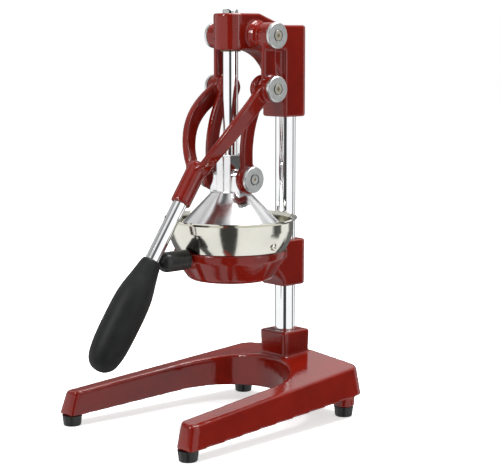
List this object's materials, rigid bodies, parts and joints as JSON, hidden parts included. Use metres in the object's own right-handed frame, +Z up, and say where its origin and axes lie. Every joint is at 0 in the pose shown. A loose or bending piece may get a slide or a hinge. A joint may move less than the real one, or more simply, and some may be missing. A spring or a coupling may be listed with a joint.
{
  "type": "lever citrus juice press",
  "caption": "Cast citrus press: long lever and paired links drive a bell down its guide onto a ribbed reamer over a strainer cup, with room between the legs for a glass.",
  "frame": {"origin": "centre of the bounding box's bottom face, on the table the feet stand on, with the press closed", "axes": "+Z up, along the press rod and the column; the handle hangs and the legs reach out toward -Y, the column stands at +Y; +X is the right-hand side for a person who stands in front, where the handle hangs, and faces the column (the leg nearer the camera in the picture)"},
  "size_m": [0.2132, 0.2988, 0.435],
  "materials": {
    "red_enamel": "gloss red enamel over cast iron",
    "chrome": "bright chrome plate on steel",
    "polished_steel": "polished stainless sheet",
    "aluminium": "turned and polished cast aluminium",
    "grip_foam": "soft matte black",
    "black_rubber": "matte black",
    "zinc_disc": "bright zinc plate",
    "screw_steel": "warm zinc plate, satin",
    "dark_steel": "black oxide, satin",
    "bronze_bush": "plain bronze"
  },
  "bodies": {
    "stand": {"base_casting": "red_enamel", "bowl_bracket": "red_enamel", "bracket_set_screw_lower": "dark_steel", "bracket_set_screw_upper": "dark_steel", "column": "chrome", "column_bolt": "zinc_disc", "column_washer": "zinc_disc", "cup_rivet_left": "polished_steel", "cup_rivet_right": "polished_steel", "foot_front_left": "black_rubber", "foot_front_right": "black_rubber", "foot_rear_left": "black_rubber", "foot_rear_right": "black_rubber", "foot_screw_front_left": "dark_steel", "foot_screw_front_right": "dark_steel", "foot_screw_rear_left": "dark_steel", "foot_screw_rear_right": "dark_steel", "head_casting": "red_enamel", "head_set_screw_lower": "dark_steel", "head_set_screw_upper": "dark_steel", "juice_cup": "polished_steel", "juice_funnel": "polished_steel", "lever_bumper": "black_rubber", "pivot_disc_top_left": "zinc_disc", "pivot_disc_top_right": "zinc_disc", "pivot_screw_top_left": "screw_steel", "pivot_screw_top_right": "screw_steel", "reamer_cone": "aluminium", "rod_guide_bush": "bronze_bush", "strainer_plate": "polished_steel"},
    "lever": {"hand_grip": "grip_foam", "handle_rod": "chrome", "lever_bush_left": "bronze_bush", "lever_bush_right": "bronze_bush", "lever_fork": "red_enamel", "pivot_disc_middle_left": "zinc_disc", "pivot_disc_middle_right": "zinc_disc", "pivot_screw_middle_left": "screw_steel", "pivot_screw_middle_right": "screw_steel"},
    "press": {"pivot_disc_lower_left": "zinc_disc", "pivot_disc_lower_right": "zinc_disc", "pivot_screw_lower_left": "screw_steel", "pivot_screw_lower_right": "screw_steel", "press_bell": "aluminium", "press_rod": "chrome", "rod_lock_nut": "zinc_disc"},
    "links": {"link_bush_left": "bronze_bush", "link_bush_right": "bronze_bush", "link_left": "red_enamel", "link_right": "red_enamel"}
  },
  "joints": [
    {"name": "lever_lift", "type": "hinge", "parent": "stand", "child": "lever", "pos_m": [0, 0.05886, 0.408], "axis": [-1, 0, 0], "range_deg": [0, 115]},
    {"name": "press_slide", "type": "slide", "parent": "stand", "child": "press", "axis": [0, 0, 1], "range_m": [0, 0.0804]},
    {"name": "link_swing", "type": "hinge", "parent": "press", "child": "links", "pos_m": [0, 0.03786, 0.2596], "axis": [1, 0, 0], "range_deg": [0, 30.21]}
  ],
  "couplings": [
    {"joint": "press_slide", "follows": "lever_lift", "m_per_rad": 0.04004},
    {"joint": "link_swing", "follows": "lever_lift", "ratio": 0.2627}
  ]
}
